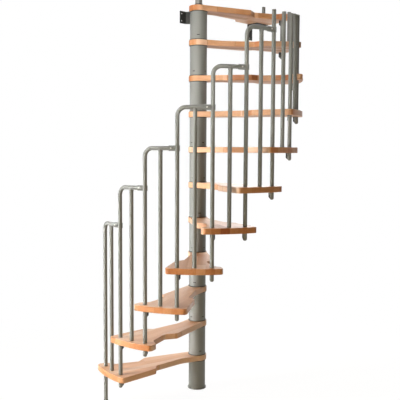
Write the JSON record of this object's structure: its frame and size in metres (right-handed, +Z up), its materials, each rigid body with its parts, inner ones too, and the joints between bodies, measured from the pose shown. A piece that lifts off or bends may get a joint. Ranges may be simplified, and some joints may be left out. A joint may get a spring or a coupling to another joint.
{
  "type": "spiral staircase",
  "caption": "Space-saving spiral staircase: alternating wooden treads on a sleeved steel column, bent tube handrails, balusters and brackets for an upper floor.",
  "frame": {"origin": "column axis at floor level, on the floor plate's underside", "axes": "+Z up the column, +X along the edge of the upper floor, +Y towards the upper floor; the flight climbs counter-clockwise seen from above"},
  "size_m": [1.32, 0.9215, 2.5517],
  "materials": {
    "beech": "satin lacquered",
    "silver_paint": "satin silver-grey paint",
    "cast_fitting": "satin silver-grey paint",
    "dark_steel": "dark grey paint",
    "black_steel": "matt black powder coat",
    "black_plastic": "moulded, matt",
    "grey_plastic": "moulded, matt"
  },
  "bodies": {
    "root": {"tread_01": "beech", "tread_02": "beech", "tread_03": "beech", "tread_04": "beech", "tread_05": "beech", "tread_06": "beech", "tread_07": "beech", "tread_08": "beech", "tread_09": "beech", "tread_10": "beech", "tread_11": "beech", "column_sleeve_01": "silver_paint", "column_sleeve_02": "silver_paint", "column_sleeve_03": "silver_paint", "column_sleeve_04": "silver_paint", "column_sleeve_05": "silver_paint", "column_sleeve_06": "silver_paint", "column_sleeve_07": "silver_paint", "column_sleeve_08": "silver_paint", "column_sleeve_09": "silver_paint", "column_sleeve_10": "silver_paint", "column_sleeve_11": "silver_paint", "handrail_01": "silver_paint", "handrail_02": "silver_paint", "handrail_03": "silver_paint", "handrail_04": "silver_paint", "handrail_05": "silver_paint", "handrail_06": "silver_paint", "post_07": "silver_paint", "post_08": "silver_paint", "post_09": "silver_paint", "post_10": "silver_paint", "post_11": "silver_paint", "landing_post": "silver_paint", "lower_balusters": "silver_paint", "upper_balusters": "silver_paint", "centre_pole": "silver_paint", "rail_clamps": "cast_fitting", "floor_plate": "silver_paint", "pole_collar": "dark_steel", "pole_bracket": "black_steel", "landing_bracket": "black_steel", "post_stops": "black_plastic", "seat_rings": "black_plastic", "baluster_saddles": "grey_plastic", "post_floor_foot": "black_plastic", "landing_post_foot": "black_plastic", "tube_plugs": "grey_plastic", "pole_cap": "grey_plastic"}
  },
  "joints": []
}
